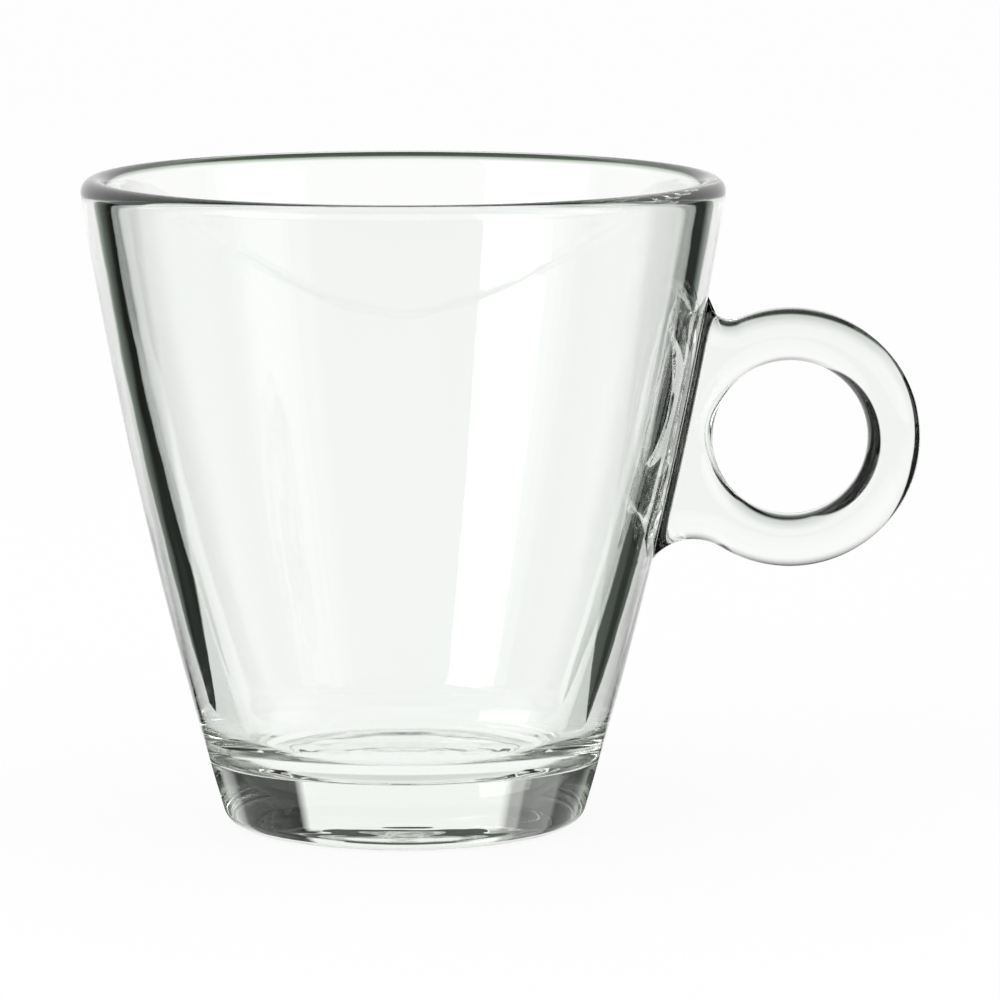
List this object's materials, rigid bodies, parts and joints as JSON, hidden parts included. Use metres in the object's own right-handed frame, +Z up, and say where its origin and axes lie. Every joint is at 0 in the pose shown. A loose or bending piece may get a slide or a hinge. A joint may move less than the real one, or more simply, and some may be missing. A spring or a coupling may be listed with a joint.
{
  "type": "tea glass",
  "caption": "Thick clear pressed-glass cup with a tapered convex wall, rounded rim, heavy base and a round finger ring fused to its side, for hot tea.",
  "frame": {"origin": "centre of the bounding box on the table plane that the foot stands on; the bowl's own axis is 13.1 mm towards -X", "axes": "+Z up along the bowl's axis, +X from the bowl towards the finger ring, +Y away from the viewer who sees the ring on the right"},
  "size_m": [0.1122, 0.086, 0.087],
  "materials": {
    "bowl_glass": "clear fire-polished pressed soda-lime glass with a faint green edge tint",
    "ring_glass": "clear fire-polished pressed soda-lime glass with a faint green edge tint"
  },
  "bodies": {
    "root": {"bowl": "bowl_glass", "ring_handle": "ring_glass"}
  },
  "joints": []
}
